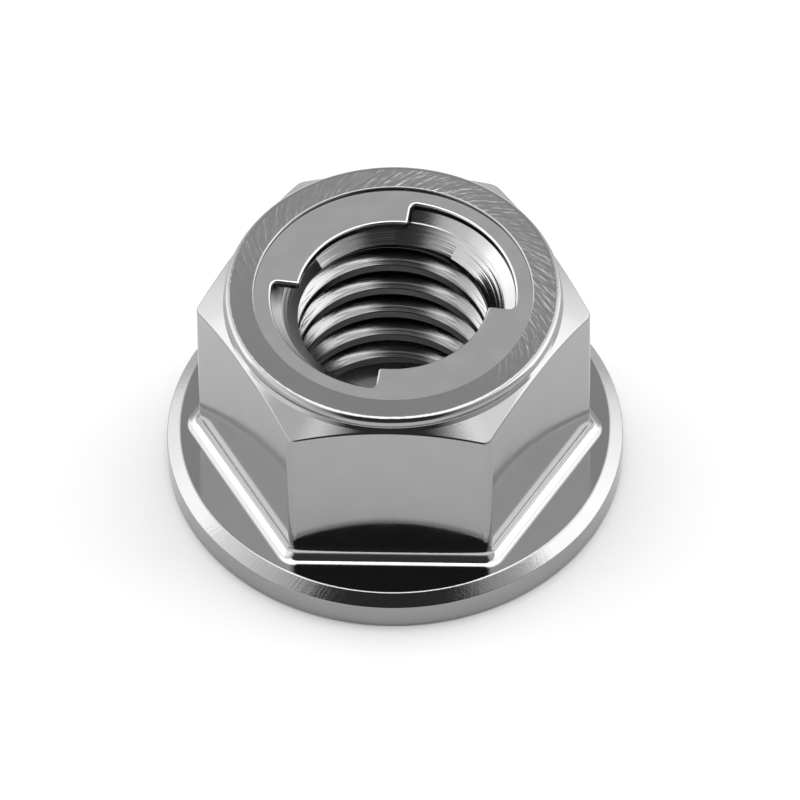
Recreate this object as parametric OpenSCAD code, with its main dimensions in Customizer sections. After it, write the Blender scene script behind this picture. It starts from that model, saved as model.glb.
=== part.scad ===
// Hexagon flange lock nut: a nut body with a washer flange at its foot, and a stamped locking ring
// that the rolled lip of the crown holds in the top of the nut. The bearing face lies at z = 0 and
// the thread runs along the Z axis. Sizes are in millimetres and angles in degrees.

/* [Thread] */
// Nominal diameter of the thread
thread_dia = 8; // [6:0.25:8.5]
// Pitch of the thread
thread_pitch = 1.25; // [0.75:0.25:1.5]
// How far the countersink in the bearing face is wider than the thread, on the radius
entry_relief = 0.2; // [0.05:0.05:0.6]

/* [Hexagon] */
// Width across the flats
across_flats = 12; // [11.6:0.1:14]
// Height of a flat above the flange, at the middle of the flat
flat_h = 6.68; // [5.2:0.02:9]
// Slope of the chamfer on the hexagon's upper corners
corner_slope = 30; // [15:1:40]
// Radius of the fillet between the flats and the flange
foot_r = 0.5; // [0.2:0.05:0.5]

/* [Flange] */
// How far the flange stands out beyond the flats
flange_reach = 2.03; // [1.9:0.01:4]
// Height of the flange's upright edge
flange_edge_h = 1; // [0.6:0.05:2]
// Width of the chamfer round the flange's upper edge
flange_chamfer_w = 0.45; // [0.1:0.01:0.5]
// Height of the chamfer round the flange's upper edge
flange_chamfer_h = 0.32; // [0.1:0.02:0.6]

/* [Crown] */
// Height of the crown above the top of the flats
crown_h = 0.58; // [0.5:0.02:1.4]
// Wall of the crown round the locking ring
crown_wall = 0.69; // [0.4:0.01:0.72]
// Radius of the crown's outer upper edge
crown_edge_r = 0.22; // [0.1:0.02:0.3]
// How far the rolled lip covers the locking ring
lip_cover = 0.35; // [0.2:0.05:0.5]
// Thickness of the lip over the outer edge of the locking ring
lip_t = 0.16; // [0.14:0.02:0.4]
// How much lower the lip lies at its inner edge
lip_fall = 0.05; // [0.01:0.01:0.1]
// How far the recess below the locking ring lies behind its notches
recess_relief = 0.1; // [0.05:0.05:0.4]
// Slope of the recess
recess_slope = 35; // [10:1:45]
// Width of the countersink between the recess and the thread, on the radius
sink_w = 0.58; // [0.2:0.02:0.9]
// Slope of the countersink
sink_slope = 45; // [30:1:60]

/* [Locking ring] */
// Thickness of the ring
ring_t = 0.3; // [0.2:0.02:0.5]
// Gap between the tabs and the thread's inner diameter, on the radius
tab_relief = 0.01; // [0.01:0.01:0.2]
// How far the tabs reach in from the notches
tab_len = 0.93; // [0.5:0.01:1.1]
// Arc of each tab
tab_sweep = 89.5; // [60:0.5:120]
// Direction of the middle of the first tab
tab_turn = 127.6; // [0:0.1:179]
// Width of the rim that shows between the notches and the lip
rim_w = 0.6; // [0.3:0.05:0.8]
// Clearance of the ring in its seat, on the radius
ring_fit = 0.02; // [0.01:0.01:0.1]

/* [Hidden] */
$fn = 96;

// Overlap that joins one solid to the next, and the reach of a cut past a face
lap = 0.1;

// Flat ring that stays on the flange outside the fillet's corners
foot_land = 0.02;

// Least width of the corner chamfer round the crown, at the middle of a flat
crown_land = 0.06;

// Least width of the recess round the countersink
recess_land = 0.05;

// Hexagon and flange
flat_r = across_flats / 2;
flange_r = flat_r + flange_reach;
flange_top_r = flange_r - flange_chamfer_w;
flange_top = flange_edge_h + flange_chamfer_h;
flat_top = flange_top + flat_h;
foot_fillet_r = min(foot_r, flange_top_r * cos(30) - flat_r - foot_land);

// Ring and crown, from the thread outwards
minor_r = (thread_dia - 1.0825 * thread_pitch) / 2;
entry_r = thread_dia / 2 + entry_relief;
tab_r = minor_r + tab_relief;
notch_r = tab_r + tab_len;
recess_r = notch_r + recess_relief;
sink_r = min(minor_r + sink_w, recess_r - recess_land);
lip_r = notch_r + rim_w;
seat_r = lip_r + lip_cover;
ring_r = seat_r - ring_fit;
crown_r = min(seat_r + crown_wall, flat_r - crown_land);

// Levels of the ring and of what lies below it
nut_top = flat_top + crown_h;
ring_top = nut_top - lip_t;
ring_base = ring_top - ring_t;
sink_top = ring_base - (recess_r - sink_r) * tan(recess_slope);
thread_top = sink_top - (sink_r - minor_r) * tan(sink_slope);
thread_base = entry_r - minor_r;

// Height of the corner chamfer's cone at a radius
function cone_z(r) = flat_top + (flat_r - r) * tan(corner_slope);

// Point on the unit circle
function dir(a) = [cos(a), sin(a)];

module flange() {
    rotate_extrude()
        polygon([[0, 0], [flange_r, 0], [flange_r, flange_edge_h], [flange_top_r, flange_top], [0, flange_top]]);
}

// Section across two flats, with a concave fillet at the foot of each
module flats_section() {
    foot_x = flat_r + foot_fillet_r;
    foot_z = flange_top + foot_fillet_r;
    difference() {
        translate([-foot_x, lap])
            square([2 * foot_x, nut_top]);
        for (side = [-1, 1])
            translate([side * foot_x, foot_z]) {
                translate([-foot_fillet_r, 0])
                    square([2 * foot_fillet_r, nut_top]);
                circle(foot_fillet_r);
            }
    }
}

// Outline of the corner chamfer's cone and of the crown, with a lip that falls towards its opening
module turned_section() {
    far_r = flange_top_r - foot_land / 2;
    edge_x = crown_r - crown_edge_r;
    lip_z = nut_top - lip_fall;
    difference() {
        polygon([[0, 0], [far_r, 0], [far_r, cone_z(far_r)], [crown_r, cone_z(crown_r)], [crown_r, nut_top], [0, nut_top]]);
        translate([edge_x, nut_top - crown_edge_r])
            difference() {
                square(crown_edge_r + lap);
                circle(crown_edge_r);
            }
        polygon([[-lap, lip_z], [lip_r, lip_z], [edge_x, nut_top], [edge_x, nut_top + lap], [-lap, nut_top + lap]]);
    }
}

// Hexagon with its crown
module hexagon() {
    intersection() {
        rotate_extrude()
            turned_section();
        flats_bar(0);
        flats_bar(60);
        flats_bar(120);
    }
}

// Bar across two opposite flats
module flats_bar(turn) {
    rotate([90, 0, turn + 30])
        linear_extrude(height = 4 * flange_r, center = true)
            flats_section();
}

// Bore at the thread's inner diameter, its countersinks, the recess, the ring's seat and the lip's opening
module cavity() {
    rotate_extrude()
        polygon([
            [0, -lap], [entry_r + lap, -lap], [minor_r, thread_base], [minor_r, thread_top],
            [sink_r, sink_top], [recess_r, ring_base], [seat_r, ring_base], [seat_r, ring_top],
            [lip_r, ring_top], [lip_r, nut_top + lap], [0, nut_top + lap]
        ]);
}

module nut_body() {
    color([0.68, 0.68, 0.67])
        difference() {
            union() {
                flange();
                hexagon();
            }
            cavity();
        }
}

// Pie slice from angle a0 to angle a1
module slice(a0, a1, r) {
    intersection() {
        circle(r);
        polygon(concat([[0, 0]], [for (i = [0:4]) 2 * r * dir(a0 + (a1 - a0) * i / 4)]));
    }
}

module lock_ring() {
    color([0.74, 0.74, 0.73])
        translate([0, 0, ring_base])
            linear_extrude(height = ring_t)
                difference() {
                    circle(ring_r);
                    circle(tab_r);
                    for (k = [0:1])
                        slice(tab_turn + 180 * k + tab_sweep / 2, tab_turn + 180 * (k + 1) - tab_sweep / 2, notch_r);
                }
}

nut_body();
lock_ring();
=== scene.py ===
import math

import bmesh
import bpy
from mathutils import Matrix, Vector


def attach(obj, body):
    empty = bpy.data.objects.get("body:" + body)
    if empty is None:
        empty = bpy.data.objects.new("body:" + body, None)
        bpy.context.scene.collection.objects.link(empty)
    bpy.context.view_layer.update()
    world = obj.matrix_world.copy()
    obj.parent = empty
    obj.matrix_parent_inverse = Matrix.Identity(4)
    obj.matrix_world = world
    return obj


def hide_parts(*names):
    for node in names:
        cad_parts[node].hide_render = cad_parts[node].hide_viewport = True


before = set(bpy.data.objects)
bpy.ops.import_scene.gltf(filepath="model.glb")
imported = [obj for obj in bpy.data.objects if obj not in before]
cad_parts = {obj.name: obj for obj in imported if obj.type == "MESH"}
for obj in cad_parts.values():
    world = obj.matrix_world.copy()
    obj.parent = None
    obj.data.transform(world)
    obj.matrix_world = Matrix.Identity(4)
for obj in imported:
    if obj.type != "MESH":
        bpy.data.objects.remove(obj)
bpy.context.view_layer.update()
mm = 0.001  # every size below is in millimetres, every mesh in metres
print("frame loaded:", sorted(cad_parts))


# node trees

def addNode(tree, kind, inputs=None, **settings):
    node = tree.nodes.new(kind)
    for name, value in settings.items():
        setattr(node, name, value)
    for name, value in (inputs or {}).items():
        if isinstance(value, bpy.types.NodeSocket):
            tree.links.new(value, node.inputs[name])
        else:
            node.inputs[name].default_value = value
    return node


def calc(tree, operation, *values):
    node = addNode(tree, "ShaderNodeMath", dict(enumerate(values)), operation=operation)
    return node.outputs[0]


def ramp(tree, value, low, high, toLow=0.0, toHigh=1.0):
    inputs = {"Value": value, "From Min": low, "From Max": high, "To Min": toLow, "To Max": toHigh}
    return addNode(tree, "ShaderNodeMapRange", inputs, interpolation_type="SMOOTHSTEP").outputs[0]


def blend(tree, share, first, second):
    return addNode(tree, "ShaderNodeMix", {0: share, 2: first, 3: second}, data_type="FLOAT").outputs[0]


def mixColour(tree, share, first, second):
    return addNode(tree, "ShaderNodeMix", {0: share, 6: first, 7: second}, data_type="RGBA").outputs[2]


def addSockets(tree, inputs, outputs):
    for name, kind, value in inputs:
        socket = tree.interface.new_socket(name, in_out="INPUT", socket_type=kind)
        if value is not None:
            socket.default_value = value
    for name, kind in outputs:
        tree.interface.new_socket(name, in_out="OUTPUT", socket_type=kind)
    return addNode(tree, "NodeGroupInput").outputs, addNode(tree, "NodeGroupOutput").inputs


# Geometry Nodes

def turnCopiesTree():
    tree = bpy.data.node_groups.new("turnCopies", "GeometryNodeTree")
    inputs, outputs = addSockets(
        tree,
        [("Sector", "NodeSocketGeometry", None), ("Copies", "NodeSocketInt", 6),
         ("First Turn", "NodeSocketFloat", 0.0), ("Weld", "NodeSocketFloat", 2e-6),
         ("Finish", "NodeSocketMaterial", None)],
        [("Geometry", "NodeSocketGeometry")])
    points = addNode(tree, "GeometryNodePoints", {"Count": inputs["Copies"]}).outputs[0]
    index = addNode(tree, "GeometryNodeInputIndex").outputs[0]
    step = calc(tree, "DIVIDE", 2 * math.pi, inputs["Copies"])
    around = calc(tree, "MULTIPLY_ADD", index, step, inputs["First Turn"])
    turn = addNode(tree, "ShaderNodeCombineXYZ", {"Z": around}).outputs[0]
    copies = addNode(tree, "GeometryNodeInstanceOnPoints",
                     {"Points": points, "Instance": inputs["Sector"], "Rotation": turn}).outputs[0]
    real = addNode(tree, "GeometryNodeRealizeInstances", {0: copies}).outputs[0]
    welded = addNode(tree, "GeometryNodeMergeByDistance",
                     {"Geometry": real, "Distance": inputs["Weld"]}).outputs[0]
    done = addNode(tree, "GeometryNodeSetMaterial", {"Geometry": welded, "Material": inputs["Finish"]})
    tree.links.new(done.outputs[0], outputs[0])
    return tree


# Winds a flat strip into a thread: along the strip x counts turns, y is the share of a pitch, z the radius.
# The countersinks at both ends cut the thread off, and its groove runs out below the upper one.
def windThreadTree():
    tree = bpy.data.node_groups.new("windThread", "GeometryNodeTree")
    inputs, outputs = addSockets(
        tree,
        [("Strip", "NodeSocketGeometry", None), ("Turns", "NodeSocketInt", 8),
         ("Pitch", "NodeSocketFloat", 0.00125), ("Start", "NodeSocketFloat", 0.0),
         ("Lowest", "NodeSocketFloat", 0.0), ("Highest", "NodeSocketFloat", 0.007),
         ("Entry Radius", "NodeSocketFloat", 0.004), ("Inner Radius", "NodeSocketFloat", 0.0033),
         ("Cone Foot", "NodeSocketFloat", 0.0), ("Cone Widening", "NodeSocketFloat", 1.0),
         ("Run-out", "NodeSocketFloat", 0.0002),
         ("Weld", "NodeSocketFloat", 2e-6), ("Finish", "NodeSocketMaterial", None)],
        [("Geometry", "NodeSocketGeometry")])
    line = addNode(tree, "GeometryNodeMeshLine", {"Count": inputs["Turns"], "Offset": (1, 0, 0)}).outputs[0]
    copies = addNode(tree, "GeometryNodeInstanceOnPoints",
                     {"Points": line, "Instance": inputs["Strip"]}).outputs[0]
    real = addNode(tree, "GeometryNodeRealizeInstances", {0: copies}).outputs[0]
    place = addNode(tree, "GeometryNodeInputPosition").outputs[0]
    turn, share, radius = addNode(tree, "ShaderNodeSeparateXYZ", {0: place}).outputs
    climb = calc(tree, "MULTIPLY_ADD", calc(tree, "ADD", turn, share), inputs["Pitch"], inputs["Start"])
    height = calc(tree, "MINIMUM", calc(tree, "MAXIMUM", climb, inputs["Lowest"]), inputs["Highest"])
    entry = calc(tree, "SUBTRACT", inputs["Entry Radius"], height)
    above = calc(tree, "SUBTRACT", height, inputs["Cone Foot"])
    cone = calc(tree, "MULTIPLY_ADD", above, inputs["Cone Widening"], inputs["Inner Radius"])
    below = calc(tree, "SUBTRACT", inputs["Cone Foot"], inputs["Run-out"])
    depth = ramp(tree, height, below, inputs["Cone Foot"], 1.0, 0.0)
    cut = calc(tree, "SUBTRACT", radius, inputs["Inner Radius"])
    groove = calc(tree, "MULTIPLY_ADD", cut, depth, inputs["Inner Radius"])
    reach = calc(tree, "MAXIMUM", groove, calc(tree, "MAXIMUM", entry, cone))
    angle = calc(tree, "MULTIPLY", turn, 2 * math.pi)
    wound = addNode(tree, "ShaderNodeCombineXYZ",
                    {"X": calc(tree, "MULTIPLY", reach, calc(tree, "COSINE", angle)),
                     "Y": calc(tree, "MULTIPLY", reach, calc(tree, "SINE", angle)),
                     "Z": height}).outputs[0]
    moved = addNode(tree, "GeometryNodeSetPosition", {"Geometry": real, "Position": wound}).outputs[0]
    welded = addNode(tree, "GeometryNodeMergeByDistance",
                     {"Geometry": moved, "Distance": inputs["Weld"]}).outputs[0]
    done = addNode(tree, "GeometryNodeSetMaterial", {"Geometry": welded, "Material": inputs["Finish"]})
    tree.links.new(done.outputs[0], outputs[0])
    return tree


# Runs a tree on a mesh and gives back the plain mesh that it makes.
def grow(mesh, tree, values):
    helper = bpy.data.objects.new("helper", mesh)
    bpy.context.scene.collection.objects.link(helper)
    modifier = helper.modifiers.new("grow", "NODES")
    modifier.node_group = tree
    for item in tree.interface.items_tree:
        if item.in_out == "INPUT" and item.name in values:
            modifier[item.identifier] = values[item.name]
    graph = bpy.context.evaluated_depsgraph_get()
    made = bpy.data.meshes.new_from_object(helper.evaluated_get(graph))
    bpy.data.objects.remove(helper)
    return made


# mesh helpers

# A line through corners (x, y, radius, steps) with each corner rounded, and a point close to each end of an
# arc that keeps the shading of the straight stretch beside it flat. Where two arcs lack room both shrink.
def roundedLine(corners, hold=0.012):
    spots = [Vector(c[:2]) for c in corners]
    ways = [(b - a).normalized() for a, b in zip(spots, spots[1:])]
    lengths = [(b - a).length for a, b in zip(spots, spots[1:])]
    turns = [0] + [math.atan2(a.cross(b), a.dot(b)) for a, b in zip(ways, ways[1:])] + [0]
    wants = [0] + [c[2] * math.tan(abs(t) / 2) + hold for c, t in zip(corners[1:-1], turns[1:-1])] + [0]
    shares = [min(1, 0.98 * d / (a + b)) for d, a, b in zip(lengths, wants, wants[1:])]
    line = [spots[0]]
    for i in range(1, len(corners) - 1):
        share = min(shares[i - 1], shares[i])
        radius, steps, turn = corners[i][2] * share, corners[i][3], turns[i]
        reach, gap = radius * math.tan(abs(turn) / 2), hold * share
        start = spots[i] - ways[i - 1] * reach
        inward = Vector((-ways[i - 1].y, ways[i - 1].x)) * math.copysign(radius, turn)
        line.append(start - ways[i - 1] * gap)
        for k in range(steps + 1):
            line.append(start + inward - Matrix.Rotation(turn * k / steps, 2) @ inward)
        line.append(spots[i] + ways[i] * (reach + gap))
    line.append(spots[-1])
    return line


def between(first, last, count):
    return [first + (last - first) * i / count for i in range(count + 1)]


def onCircle(radius, angle, height):
    return Vector((radius * math.cos(angle), radius * math.sin(angle), height))


# A sheet of quads from rows of points, all as long as each other.
def sheetMesh(name, rows, closed=False):
    width = len(rows[0])
    points = [p * mm for row in rows for p in row]
    faces = []
    for j in range(len(rows) if closed else len(rows) - 1):
        a, b = j * width, (j + 1) % len(rows) * width
        faces += [(a + i, a + i + 1, b + i + 1, b + i) for i in range(width - 1)]
    mesh = bpy.data.meshes.new(name)
    mesh.from_pydata(points, [], faces)
    return mesh


# Joins meshes into one closed, smooth object.
def pieceFrom(name, meshes, finish):
    shell = bmesh.new()
    for mesh in meshes:
        shell.from_mesh(mesh)
    bmesh.ops.remove_doubles(shell, verts=shell.verts, dist=2e-6)
    bmesh.ops.dissolve_degenerate(shell, edges=shell.edges, dist=1e-7)
    bmesh.ops.recalc_face_normals(shell, faces=shell.faces)
    for face in shell.faces:
        face.smooth = True
    openEdges = sum(not edge.is_manifold for edge in shell.edges)
    triangles = sum(len(face.verts) - 2 for face in shell.faces)
    whole = bpy.data.meshes.new(name)
    shell.to_mesh(whole)
    shell.free()
    whole.materials.clear()
    whole.materials.append(finish)
    piece = bpy.data.objects.new(name, whole)
    bpy.context.scene.collection.objects.link(piece)
    print(name, "triangles", triangles, "open edges", openEdges)
    return piece


# finishes

# Where a point lies about the axis: radius and height in millimetres, angle in radians.
def axisPlaceGroup():
    tree = bpy.data.node_groups.new("axisPlace", "ShaderNodeTree")
    outputs = addSockets(tree, [], [("Radius", "NodeSocketFloat"), ("Angle", "NodeSocketFloat"),
                                    ("Height", "NodeSocketFloat")])[1]
    place = addNode(tree, "ShaderNodeTexCoord").outputs["Object"]
    x, y, z = addNode(tree, "ShaderNodeSeparateXYZ", {0: place}).outputs
    square = calc(tree, "ADD", calc(tree, "MULTIPLY", x, x), calc(tree, "MULTIPLY", y, y))
    tree.links.new(calc(tree, "MULTIPLY", calc(tree, "SQRT", square), 1 / mm), outputs["Radius"])
    tree.links.new(calc(tree, "ARCTAN2", y, x), outputs["Angle"])
    tree.links.new(calc(tree, "MULTIPLY", z, 1 / mm), outputs["Height"])
    return tree


# Fine lines that a cutting tool leaves round the axis.
def turningLinesGroup(axisPlace):
    tree = bpy.data.node_groups.new("turningLines", "ShaderNodeTree")
    inputs, outputs = addSockets(
        tree, [("Lines per mm", "NodeSocketFloat", 20.0), ("Detail", "NodeSocketFloat", 2.0)],
        [("Lines", "NodeSocketFloat")])
    place = addNode(tree, "ShaderNodeGroup", node_tree=axisPlace).outputs
    spot = addNode(tree, "ShaderNodeCombineXYZ", {"X": place["Radius"], "Y": place["Height"]}).outputs[0]
    lines = addNode(tree, "ShaderNodeTexNoise",
                    {"Vector": spot, "Scale": inputs["Lines per mm"], "Detail": inputs["Detail"]},
                    noise_dimensions="2D").outputs[0]
    tree.links.new(lines, outputs["Lines"])
    return tree


# Lines that follow the thread: the climb is wound on a circle, so that they meet where a turn begins again.
def threadLinesGroup(axisPlace):
    tree = bpy.data.node_groups.new("threadLines", "ShaderNodeTree")
    inputs, outputs = addSockets(
        tree, [("Pitch", "NodeSocketFloat", 1.25), ("Lines per Pitch", "NodeSocketFloat", 20.0),
               ("Breaks", "NodeSocketFloat", 1.0)],
        [("Lines", "NodeSocketFloat")])
    place = addNode(tree, "ShaderNodeGroup", node_tree=axisPlace).outputs
    climb = calc(tree, "MULTIPLY", calc(tree, "DIVIDE", place["Height"], inputs["Pitch"]), 2 * math.pi)
    wound = calc(tree, "SUBTRACT", climb, place["Angle"])
    reach = calc(tree, "DIVIDE", inputs["Lines per Pitch"], 2 * math.pi)
    breaks = calc(tree, "MULTIPLY", inputs["Breaks"], calc(tree, "SINE", place["Angle"]))
    spot = addNode(tree, "ShaderNodeCombineXYZ",
                   {"X": calc(tree, "MULTIPLY", reach, calc(tree, "COSINE", wound)),
                    "Y": calc(tree, "MULTIPLY", reach, calc(tree, "SINE", wound)),
                    "Z": breaks}).outputs[0]
    lines = addNode(tree, "ShaderNodeTexNoise", {"Vector": spot, "Scale": 1.0, "Detail": 3.0}).outputs[0]
    tree.links.new(lines, outputs["Lines"])
    return tree


# Short dashes about the axis, which lean over as they run outwards.
def dashesGroup(axisPlace):
    tree = bpy.data.node_groups.new("dashes", "ShaderNodeTree")
    inputs, outputs = addSockets(
        tree, [("Dashes Around", "NodeSocketFloat", 120.0), ("Lean", "NodeSocketFloat", 0.0),
               ("Rows per mm", "NodeSocketFloat", 2.0)],
        [("Dashes", "NodeSocketFloat")])
    place = addNode(tree, "ShaderNodeGroup", node_tree=axisPlace).outputs
    turned = calc(tree, "MULTIPLY_ADD", place["Radius"], inputs["Lean"], place["Angle"])
    reach = calc(tree, "DIVIDE", inputs["Dashes Around"], 2 * math.pi)
    spot = addNode(tree, "ShaderNodeCombineXYZ",
                   {"X": calc(tree, "MULTIPLY", reach, calc(tree, "COSINE", turned)),
                    "Y": calc(tree, "MULTIPLY", reach, calc(tree, "SINE", turned)),
                    "Z": calc(tree, "MULTIPLY", place["Radius"], inputs["Rows per mm"])}).outputs[0]
    dashes = addNode(tree, "ShaderNodeTexNoise", {"Vector": spot, "Scale": 1.0, "Detail": 2.0}).outputs[0]
    tree.links.new(dashes, outputs["Dashes"])
    return tree


axisPlace = axisPlaceGroup()
turningLines = turningLinesGroup(axisPlace)
threadLines = threadLinesGroup(axisPlace)
dashes = dashesGroup(axisPlace)
turnCopies = turnCopiesTree()
windThread = windThreadTree()


# Noise over the whole piece, in millimetres.
def grainNoise(tree, perMm, detail=2.0):
    place = addNode(tree, "ShaderNodeTexCoord").outputs["Object"]
    inputs = {"Vector": place, "Scale": perMm / mm, "Detail": detail}
    return addNode(tree, "ShaderNodeTexNoise", inputs).outputs[0]


def newMetal(name):
    finish = bpy.data.materials.new(name)
    finish.use_nodes = True
    tree = finish.node_tree
    shader = tree.nodes["Principled BSDF"]
    shader.inputs["Metallic"].default_value = 1.0
    return finish, tree, shader


# Adds up heights in millimetres, each a pattern with its own depth, and lays them on the shader as a bump.
def layBump(tree, shader, parts):
    height = 0.0
    for pattern, depth in parts:
        height = calc(tree, "MULTIPLY_ADD", pattern, depth, height)
    bump = addNode(tree, "ShaderNodeBump", {"Height": height, "Strength": 1.0, "Distance": mm})
    tree.links.new(bump.outputs[0], shader.inputs["Normal"])


nutLook = {
    # the lighter foot colour is a painted highlight on the fillet at the foot of the hex
    "colour": (0.33, 0.33, 0.33, 1), "footSheenColour": (0.46, 0.46, 0.46, 1),
    # the thread's darker colour is painted shade in its grooves and on its crest flats, and it also darkens
    # streaks along the thread
    "boreColour": (0.36, 0.36, 0.36, 1), "threadShadeAndStreakColour": (0.17, 0.17, 0.17, 1), "patchShade": 0.97,
    "roughness": (0.07, 0.10), "boreRoughness": (0.12, 0.17), "lipRoughness": 0.17,
    "recessRoughness": (0.42, 0.13), "sinkRoughness": (0.45, 0.2),
    "turningDepth": 0.0003, "grainDepth": 0.0008, "recessGrainDepth": 0.002, "sinkLineDepth": 0.022,
    "threadLineDepth": 0.006, "lipDashDepth": 0.016, "flangeDashDepth": 0.0035, "flangeGrainDepth": 0.003,
    "patchesPerMm": 0.7, "grainPerMm": 14.0, "flangeGrainPerMm": 22.0,
    # where each zone of the finish begins and is whole, as radius R, height H or place across X
    "boreR": (4.56, 4.50), "boreH": (8.14, 8.10), "recessH": (7.18, 7.26), "sinkH": (7.83, 7.78),
    "grooveR": (3.62, 3.80), "crestR": (3.39, 3.34), "lipH": (8.40, 8.46), "lipR": (5.82, 5.66),
    "chamferR": (7.50, 7.62), "chamferH": (0.94, 1.02), "footStartH": (1.3204, 1.3225),
    "footEndH": (1.79, 1.75), "matteX": (-3.2, -1.8),
}


def nutFinish():
    look = nutLook
    finish, tree, shader = newMetal("nutSteel")
    place = addNode(tree, "ShaderNodeGroup", node_tree=axisPlace).outputs
    radius, height = place["Radius"], place["Height"]
    bore = calc(tree, "MULTIPLY", ramp(tree, radius, *look["boreR"]), ramp(tree, height, *look["boreH"]))
    belowRing = calc(tree, "MULTIPLY", bore, ramp(tree, height, *look["recessH"]))
    onSink = calc(tree, "MULTIPLY", belowRing, ramp(tree, height, *look["sinkH"]))
    onThread = calc(tree, "SUBTRACT", bore, belowRing)
    grooveShade = calc(tree, "MULTIPLY", onThread, ramp(tree, radius, *look["grooveR"]))
    onLip = calc(tree, "MULTIPLY", ramp(tree, height, *look["lipH"]), ramp(tree, radius, *look["lipR"]))
    onChamfer = calc(tree, "MULTIPLY", ramp(tree, radius, *look["chamferR"]),
                     ramp(tree, height, *look["chamferH"]))
    outside = calc(tree, "SUBTRACT", 1.0, bore)

    along = addNode(tree, "ShaderNodeGroup", {"Lines per Pitch": 26.0, "Breaks": 4.0},
                    node_tree=threadLines).outputs[0]
    patches = grainNoise(tree, look["patchesPerMm"], 3.0)
    darker = tuple(c * look["patchShade"] for c in look["colour"][:3]) + (1,)
    colour = mixColour(tree, ramp(tree, patches, 0.35, 0.65), look["colour"], darker)
    # painted highlight: the fillet at the foot of the hex gets a lighter colour so that its reflection
    # shows brighter
    litFoot = calc(tree, "MULTIPLY", ramp(tree, height, *look["footStartH"]),
                  ramp(tree, height, *look["footEndH"]))
    colour = mixColour(tree, litFoot, colour, look["footSheenColour"])
    colour = mixColour(tree, bore, colour, look["boreColour"])
    # painted shade: the deep grooves and the crest flats of the thread darken to stand in for the shade and
    # dark reflections in the bore; darker streaks along the thread take the same colour
    crestShade = calc(tree, "MULTIPLY", onThread, ramp(tree, radius, *look["crestR"]))
    streaked = calc(tree, "MULTIPLY", onThread, ramp(tree, along, 0.46, 0.62, 0.0, 0.75))
    shaded = calc(tree, "MAXIMUM", calc(tree, "MAXIMUM", grooveShade, streaked), crestShade)
    tree.links.new(mixColour(tree, shaded, colour, look["threadShadeAndStreakColour"]), shader.inputs["Base Color"])
    rough = ramp(tree, patches, 0.3, 0.7, *look["roughness"])
    rough = blend(tree, onThread, rough, ramp(tree, patches, 0.3, 0.7, *look["boreRoughness"]))
    across = calc(tree, "MULTIPLY", radius, calc(tree, "COSINE", place["Angle"]))
    rough = blend(tree, belowRing, rough, ramp(tree, across, *look["matteX"], *look["recessRoughness"]))
    rough = blend(tree, onSink, rough, ramp(tree, across, *look["matteX"], *look["sinkRoughness"]))
    tree.links.new(blend(tree, onLip, rough, look["lipRoughness"]), shader.inputs["Roughness"])

    fine = addNode(tree, "ShaderNodeGroup", {"Lines per mm": 30.0}, node_tree=turningLines).outputs[0]
    coarse = addNode(tree, "ShaderNodeGroup", {"Lines per mm": 8.0}, node_tree=turningLines).outputs[0]
    flames = addNode(tree, "ShaderNodeGroup", {"Dashes Around": 150.0, "Lean": 0.22, "Rows per mm": 2.2},
                     node_tree=dashes).outputs[0]
    streaks = addNode(tree, "ShaderNodeGroup", {"Dashes Around": 400.0, "Lean": 0.05, "Rows per mm": 0.8},
                      node_tree=dashes).outputs[0]
    grain = grainNoise(tree, look["grainPerMm"])
    flangeGrain = grainNoise(tree, look["flangeGrainPerMm"])
    layBump(tree, shader, [
        (calc(tree, "MULTIPLY", fine, outside), look["turningDepth"]),
        (calc(tree, "MULTIPLY", grain, outside), look["grainDepth"]),
        (calc(tree, "MULTIPLY", grain, belowRing), look["recessGrainDepth"]),
        (calc(tree, "MULTIPLY", coarse, onSink), look["sinkLineDepth"]),
        (calc(tree, "MULTIPLY", along, onThread), look["threadLineDepth"]),
        (calc(tree, "MULTIPLY", flames, onLip), look["lipDashDepth"]),
        (calc(tree, "MULTIPLY", streaks, onChamfer), look["flangeDashDepth"]),
        (calc(tree, "MULTIPLY", flangeGrain, onChamfer), look["flangeGrainDepth"]),
    ])
    return finish


ringLook = {
    # the nearly black colour here is painted shade on the lower part of the ring's edge faces and its
    # underside
    "colour": (0.49, 0.49, 0.49, 1), "edgeShadeColour": (0.06, 0.06, 0.06, 1), "patchShade": 0.96,
    "roughness": (0.16, 0.22), "grainDepth": 0.0008, "patchesPerMm": 1.2, "grainPerMm": 16.0,
    "edgeShadeH": (8.345, 8.315),
}


def ringFinish():
    look = ringLook
    finish, tree, shader = newMetal("ringSteel")
    patches = grainNoise(tree, look["patchesPerMm"], 3.0)
    darker = tuple(c * look["patchShade"] for c in look["colour"][:3]) + (1,)
    colour = mixColour(tree, ramp(tree, patches, 0.35, 0.65), look["colour"], darker)
    height = addNode(tree, "ShaderNodeGroup", node_tree=axisPlace).outputs["Height"]
    # painted shade: from this height down, the ring's edge faces and underside turn nearly black, standing
    # in for the shadow under the ring
    edgeShade = ramp(tree, height, *look["edgeShadeH"])
    tree.links.new(mixColour(tree, edgeShade, colour, look["edgeShadeColour"]), shader.inputs["Base Color"])
    tree.links.new(ramp(tree, patches, 0.3, 0.7, *look["roughness"]), shader.inputs["Roughness"])
    layBump(tree, shader, [(grainNoise(tree, look["grainPerMm"]), look["grainDepth"])])
    return finish


nutSteel = nutFinish()
ringSteel = ringFinish()
print("finishes and trees ready")


# nut body

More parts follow.
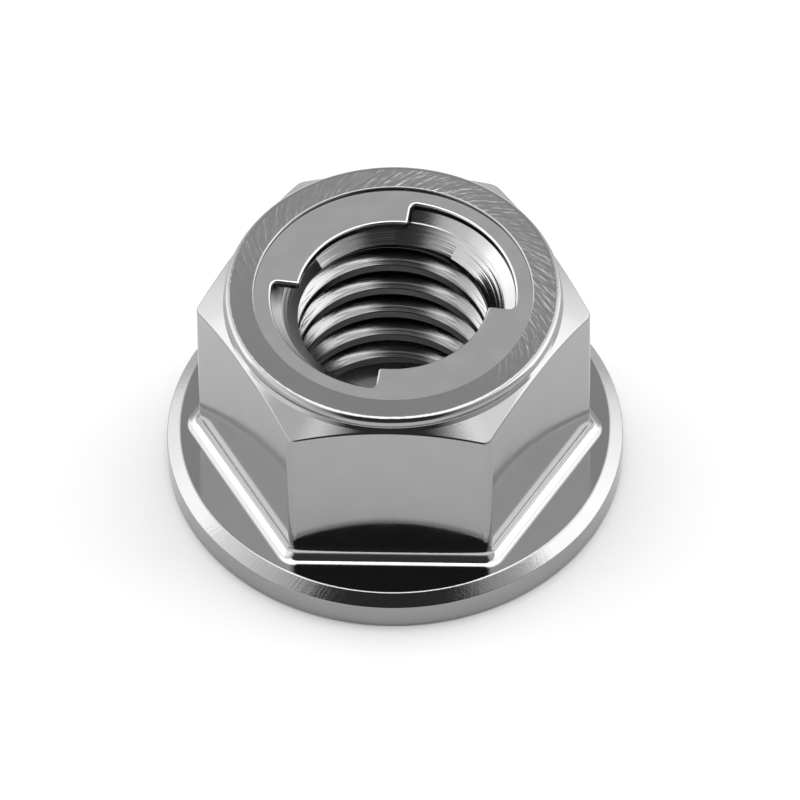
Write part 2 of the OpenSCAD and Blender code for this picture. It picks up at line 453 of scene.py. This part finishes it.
nut = {
    "flatR": 6.0, "cornerRound": 0.377, "flatTop": 8.00, "cornerSlope": math.radians(30),
    "chamferRound": 0.13, "flangeR": 8.03, "flangeEdgeH": 1.0, "flangeTopR": 7.58, "flangeTop": 1.32,
    "rimRound": 0.14, "edgeRound": 0.07, "footR": 0.46, "footSteps": 16,
    "crownR": 5.903, "nutTop": 8.58, "neckFootR": 5.935, "neckR": 5.835, "neckH": 8.165, "bulgeH": 8.31,
    "neckRound": 0.05, "crownEdge": 0.22, "lipR": 4.863, "lipFall": 0.05, "lipBase": 8.455, "lipTurn": 0.06,
    "ringBase": 8.12, "seatR": 5.213, "recessR": 4.363, "sinkR": 3.903, "sinkTop": 7.798,
    "sinkSlope": math.radians(45), "entryR": 4.2, "minorR": 3.323, "majorR": 4.0, "pitch": 1.25,
    "crestRound": 0.035, "rootRound": 0.08, "threadStart": 0.675, "threadLow": 0.08, "threadHigh": 7.24,
    "runOut": 0.16, "flatColumns": 34, "cornerColumns": 7,
}
columns = 6 * (nut["flatColumns"] + 2 + 2 * nut["cornerColumns"])


# Outline of one sixth of the hexagon, about +X: points with the direction that each faces.
def sixthOutline():
    r, rounding = nut["flatR"], nut["cornerRound"]
    centre = Vector((r - rounding, (r - rounding) * math.tan(math.pi / 6)))
    hold = 0.012
    outline = []
    for side in (-1, 1):
        corner = Vector((centre.x, centre.y * side))
        turns = between(0, side * math.pi / 6, nut["cornerColumns"])
        arc = [(corner + rounding * Vector((math.cos(a), math.sin(a))), Vector((math.cos(a), math.sin(a))))
               for a in turns]
        outline.append(arc)
    flatEnd = centre.y - hold
    flat = [(Vector((r, y)), Vector((1, 0))) for y in between(-flatEnd, flatEnd, nut["flatColumns"])]
    return outline[0][::-1] + flat + outline[1]


def coneHeight(radius):
    return nut["flatTop"] + (nut["flatR"] - radius) * math.tan(nut["cornerSlope"])


def threadTop():
    return nut["sinkTop"] - (nut["sinkR"] - nut["minorR"]) * math.tan(nut["sinkSlope"])


# Inside the hole the columns stand evenly, to meet those of the thread.
def inHole(spot):
    return spot.x < nut["seatR"] + 0.001 and spot.y < nut["lipBase"] + 0.001


def sixthOfNut():
    outline = sixthOutline()
    even = between(-math.pi / 6, math.pi / 6, len(outline) - 1)
    lower = roundedLine([
        (nut["entryR"] - nut["threadLow"], nut["threadLow"]),
        (nut["entryR"], 0, 0.04, 3),
        (nut["flangeR"], 0, 0.12, 6),
        (nut["flangeR"], nut["flangeEdgeH"], nut["edgeRound"], 5),
        (nut["flangeTopR"], nut["flangeTop"], nut["rimRound"], 7),
        (nut["flangeTopR"] - 0.08, nut["flangeTop"]),
    ])
    footCentre = nut["flangeTop"] + nut["footR"]
    lipSlope = math.atan(nut["lipFall"] / (nut["crownR"] - nut["crownEdge"] - nut["lipR"]))
    crownCorner = nut["nutTop"] + nut["crownEdge"] * ((1 + math.sin(lipSlope)) / math.cos(lipSlope) - 1)
    sinkEnd = nut["minorR"] + (nut["threadHigh"] - threadTop()) / math.tan(nut["sinkSlope"])
    stripe = []
    for (spot, facing), angle in zip(outline, even):
        polar = math.atan2(spot.y, spot.x)
        column = [onCircle(p.x, angle if inHole(p) else polar, p.y) for p in lower]
        foot = [(nut["footR"] + 0.012, nut["flangeTop"])]
        for a in between(0, math.pi / 2, nut["footSteps"]):
            foot.append((nut["footR"] * (1 - math.sin(a)), footCentre - nut["footR"] * math.cos(a)))
        foot += [(0, footCentre + 0.012), (0, footCentre + 2), (0, footCentre + 4)]
        for out, height in foot:
            column.append((spot + facing * out).to_3d() + Vector((0, 0, height)))
        r = spot.length
        upper = roundedLine([
            (r, footCentre + 5),
            (r, coneHeight(r), nut["chamferRound"], 5),
            (nut["neckFootR"], coneHeight(nut["neckFootR"]), nut["neckRound"], 3),
            (nut["neckR"], nut["neckH"], nut["neckRound"], 4),
            (nut["crownR"], nut["bulgeH"], nut["neckRound"], 4),
            (nut["crownR"], crownCorner, nut["crownEdge"], 8),
            (nut["lipR"], nut["nutTop"] - nut["lipFall"], nut["lipTurn"], 6),
            (nut["lipR"], nut["lipBase"], 0.005, 2),
            (nut["seatR"], nut["lipBase"], 0.02, 2),
            (nut["seatR"], nut["ringBase"], 0.02, 2),
            (nut["recessR"], nut["ringBase"], 0.03, 3),
            (nut["sinkR"], nut["sinkTop"], 0.05, 3),
            (sinkEnd, nut["threadHigh"]),
        ])
        column += [onCircle(p.x, angle if inHole(p) else polar, p.y) for p in upper]
        stripe.append(column)
    return sheetMesh("sixth", list(zip(*stripe)))


def threadStrip():
    pitch, crest, root = nut["pitch"], nut["minorR"], nut["majorR"]
    section = roundedLine([
        (crest, 0),
        (crest, 0.125 * pitch, nut["crestRound"], 3),
        (root, 0.4375 * pitch, nut["rootRound"], 4),
        (root, 0.5625 * pitch, nut["rootRound"], 4),
        (crest, 0.875 * pitch, nut["crestRound"], 3),
        (crest, pitch),
    ])
    rows = []
    for spot in section:
        rows.append([Vector((i / columns / mm, spot.y / pitch / mm, spot.x)) for i in range(columns + 1)])
    return sheetMesh("strip", rows)


body = grow(sixthOfNut(), turnCopies, {"Copies": 6, "First Turn": math.pi / 6, "Finish": nutSteel})
turnsBelow = 2
thread = grow(threadStrip(), windThread, {
    "Turns": 8, "Pitch": nut["pitch"] * mm, "Start": (nut["threadStart"] - turnsBelow * nut["pitch"]) * mm,
    "Lowest": nut["threadLow"] * mm, "Highest": nut["threadHigh"] * mm, "Entry Radius": nut["entryR"] * mm,
    "Inner Radius": nut["minorR"] * mm, "Cone Foot": threadTop() * mm,
    "Cone Widening": 1 / math.tan(nut["sinkSlope"]), "Run-out": nut["runOut"] * mm, "Finish": nutSteel})
nutPiece = pieceFrom("flange_nut", [body, thread], nutSteel)
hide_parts("nut_body")
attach(nutPiece, "root")
print("nut body made")


# locking ring

ring = {
    "ringR": 5.193, "tabR": 3.333, "notchR": 4.263, "top": 8.42, "base": 8.12,
    "tabSweep": math.radians(89.5), "tabTurn": math.radians(127.6), "notchRound": 0.2, "tipRound": 0.12,
    "roll": 0.09, "burr": 0.03, "rimHold": 0.03, "notchColumns": 24, "tabColumns": 60, "cornerColumns": 6,
    "stepColumns": 3, "stepSpread": math.radians(8),
}


# Inner edge of half the ring, about +X: points with the direction that each faces and the angle of
# the rim behind.
def halfEdge():
    half = ring["tabSweep"] / 2
    notch, tab = ring["notchR"], ring["tabR"]
    bendIn, bendOut = ring["notchRound"], ring["tipRound"]
    lean = math.asin(bendIn / (notch - bendIn))
    tip = math.asin(bendOut / (tab + bendOut))
    edge = []
    notchTurns = between(math.pi / 2, half + lean, ring["notchColumns"])
    for a in notchTurns:
        edge.append((Vector((math.cos(a), math.sin(a))) * notch, -Vector((math.cos(a), math.sin(a)))))
    centre = (notch - bendIn) * Vector((math.cos(half + lean), math.sin(half + lean)))
    for a in between(half + lean, half - math.pi / 2, ring["cornerColumns"])[1:]:
        out = Vector((math.cos(a), math.sin(a)))
        edge.append((centre + bendIn * out, -out))
    inward = Vector((-math.sin(half), math.cos(half)))
    far = math.sqrt((notch - bendIn) ** 2 - bendIn ** 2)
    near = math.sqrt((tab + bendOut) ** 2 - bendOut ** 2)
    for d in between(far, near, ring["stepColumns"])[1:-1]:
        edge.append((Vector((math.cos(half), math.sin(half))) * d, inward))
    centre = (tab + bendOut) * Vector((math.cos(half - tip), math.sin(half - tip)))
    for a in between(half + math.pi / 2, half - tip + math.pi, ring["cornerColumns"]):
        out = Vector((math.cos(a), math.sin(a)))
        edge.append((centre + bendOut * out, out))
    stepEnd = len(edge)
    for a in between(half - tip, 0, ring["tabColumns"] // 2)[1:]:
        edge.append((Vector((math.cos(a), math.sin(a))) * tab, -Vector((math.cos(a), math.sin(a)))))
    spread = half - ring["stepSpread"]
    rims = notchTurns + between(half + lean, spread, stepEnd - len(notchTurns))[1:]
    rims += between(spread, 0, len(edge) - stepEnd)[1:]
    whole = [(p, f, rim) for (p, f), rim in zip(edge, rims)]
    return whole + [(Vector((p.x, -p.y)), Vector((f.x, -f.y)), -rim) for p, f, rim in whole[-2::-1]]


def halfOfRing():
    edge = halfEdge()
    roll, burr = ring["roll"], ring["burr"]
    section = [(roll + 0.012, ring["top"])]
    for a in between(0, math.pi / 2, 6):
        section.append((roll * (1 - math.sin(a)), ring["top"] - roll * (1 - math.cos(a))))
    section += [(0, ring["top"] - roll - 0.012), (0, ring["base"] + burr + 0.012)]
    for a in between(0, math.pi / 2, 3):
        section.append((burr * (1 - math.cos(a)), ring["base"] + burr * (1 - math.sin(a))))
    section.append((burr + 0.012, ring["base"]))
    stripe = []
    turned = Matrix.Rotation(ring["tabTurn"], 2)
    for spot, facing, rim in edge:
        angle = rim + ring["tabTurn"]
        held = ring["ringR"] - ring["rimHold"]
        column = [onCircle(ring["ringR"], angle, ring["top"]), onCircle(held, angle, ring["top"])]
        for back, height in section:
            column.append((turned @ (spot - facing * back)).to_3d() + Vector((0, 0, height)))
        column += [onCircle(held, angle, ring["base"]), onCircle(ring["ringR"], angle, ring["base"])]
        stripe.append(column)
    return sheetMesh("half", list(zip(*stripe)), closed=True)


ringMesh = grow(halfOfRing(), turnCopies, {"Copies": 2, "Finish": ringSteel})
ringPiece = pieceFrom("locking_ring", [ringMesh], ringSteel)
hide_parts("lock_ring")
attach(ringPiece, "root")
print("locking ring made")


# stage, light and camera

stage = {"floorR": 600, "floorColour": (0.76, 0.76, 0.76, 1)}


def makeFloor():
    disc = bmesh.new()
    bmesh.ops.create_circle(disc, cap_ends=True, segments=64, radius=stage["floorR"] * mm)
    mesh = bpy.data.meshes.new("floor")
    disc.to_mesh(mesh)
    disc.free()
    floor = bpy.data.objects.new("floor", mesh)
    bpy.context.scene.collection.objects.link(floor)
    finish = bpy.data.materials.new("paleFloor")
    finish.use_nodes = True
    shader = finish.node_tree.nodes["Principled BSDF"]
    shader.inputs["Base Color"].default_value = stage["floorColour"]
    shader.inputs["Roughness"].default_value = 0.9
    shader.inputs["Specular IOR Level"].default_value = 0.0
    mesh.materials.append(finish)


view = {"elevation": 49.77, "azimuth": 2.0, "roll": -0.73, "distance": 491.86, "lens": 630.0,
        "aim": (0.1919, 0, 2.7477)}


def viewAxes():
    turn = Matrix.Rotation(math.radians(view["azimuth"]), 3, "Z")
    e = math.radians(view["elevation"])
    forward = turn @ Vector((0, math.cos(e), -math.sin(e)))
    right = turn @ Vector((1, 0, 0))
    return right, right.cross(forward), forward, turn @ Vector(view["aim"])


tent = {
    "back": 0.62, "left": 2.55, "right": 2.7, "near": 0.70, "far": 1.12, "lamp": 3.2, "dark": 0.06,
    "frontLeft": 1.1, "frontRight": 0.75, "sideLeft": 1.7, "sideRight": 0.8, "low": 0.24, "horizon": 1.0,
    # where panels begin and end: degrees over the nut from the back, or share of the way aside
    "highOver": (34, 50), "begin": (0.29, 0.10), "rise": (0.53, 0.14), "farAside": (0.60, 0.74),
    "leftOver": (78, 92), "lampOver": (60, 68), "lampAside": (0.30, 0.50), "frontOver": (102, 106),
    "flankOver": (107, 119), "flankShares": (1.25, 0.8), "lowOver": (162, 174), "widerOver": (110, 121),
    "wider": 0.21, "frontAside": (0.17, 0.40), "sideAside": (0.60, 0.80), "horizonZ": (0.02, 0.06),
}


# A white tent: a pale back, bright sides, a lamp overhead, and a dark opening in front where the
# camera stands.
def makeTent():
    world = bpy.data.worlds.new("tent")
    bpy.context.scene.world = world
    world.use_nodes = True
    tree = world.node_tree
    tree.nodes.clear()
    way = addNode(tree, "ShaderNodeTexCoord").outputs["Generated"]
    x, y, z = addNode(tree, "ShaderNodeSeparateXYZ", {0: way}).outputs
    aside = calc(tree, "ABSOLUTE", x)
    over = calc(tree, "MULTIPLY", calc(tree, "ARCTAN2", z, y), 180 / math.pi)  # 0 at the back, 90 overhead
    high = ramp(tree, over, *tent["highOver"])
    begin = blend(tree, high, *tent["begin"])  # the sides begin softly near the horizon, sharply above
    rise = blend(tree, high, *tent["rise"])
    sideways = calc(tree, "DIVIDE", calc(tree, "SUBTRACT", aside, begin), rise)
    near = blend(tree, high, 1.0, ramp(tree, aside, *tent["farAside"], tent["near"], tent["far"]))
    left = ramp(tree, over, *tent["leftOver"], tent["left"], tent["sideLeft"])
    sides = calc(tree, "MULTIPLY", near, blend(tree, ramp(tree, x, -0.1, 0.1), left, tent["right"]))
    back = ramp(tree, sideways, 0.0, 1.0, tent["back"], sides)
    lamp = calc(tree, "MULTIPLY", ramp(tree, over, *tent["lampOver"]),
                ramp(tree, aside, *tent["lampAside"], 1.0, 0.0))
    rear = blend(tree, lamp, back, tent["lamp"])
    flank = ramp(tree, x, -0.2, 0.2, tent["frontLeft"], tent["frontRight"])
    flank = calc(tree, "MULTIPLY", flank, ramp(tree, over, *tent["flankOver"], *tent["flankShares"]))
    dark = ramp(tree, over, *tent["lowOver"], tent["dark"], tent["low"])
    wider = ramp(tree, over, *tent["widerOver"], 0.0, tent["wider"])
    front = ramp(tree, calc(tree, "SUBTRACT", aside, wider), *tent["frontAside"], dark, flank)
    side = ramp(tree, x, -0.2, 0.2, tent["sideLeft"], tent["sideRight"])
    front = blend(tree, ramp(tree, aside, *tent["sideAside"]), front, side)
    level = blend(tree, ramp(tree, over, *tent["frontOver"]), rear, front)
    level = blend(tree, ramp(tree, z, *tent["horizonZ"]), tent["horizon"], level)
    light = addNode(tree, "ShaderNodeBackground", {"Strength": level})
    light.inputs["Color"].default_value = (1, 1, 1, 1)
    addNode(tree, "ShaderNodeOutputWorld", {0: light.outputs[0]})


def makeCamera():
    right, up, forward, aim = viewAxes()
    roll = math.radians(view["roll"])
    across = right * math.cos(roll) + up * math.sin(roll)
    upright = up * math.cos(roll) - right * math.sin(roll)
    lens = bpy.data.cameras.new("camera")
    lens.lens = view["lens"]
    lens.clip_start = 0.01
    camera = bpy.data.objects.new("camera", lens)
    bpy.context.scene.collection.objects.link(camera)
    place = (aim - forward * view["distance"]) * mm
    camera.matrix_world = Matrix((across, upright, -forward)).transposed().to_4x4()
    camera.location = place
    bpy.context.scene.camera = camera


makeFloor()
makeTent()
makeCamera()
bpy.context.scene.view_settings.view_transform = "Standard"
print("stage ready")
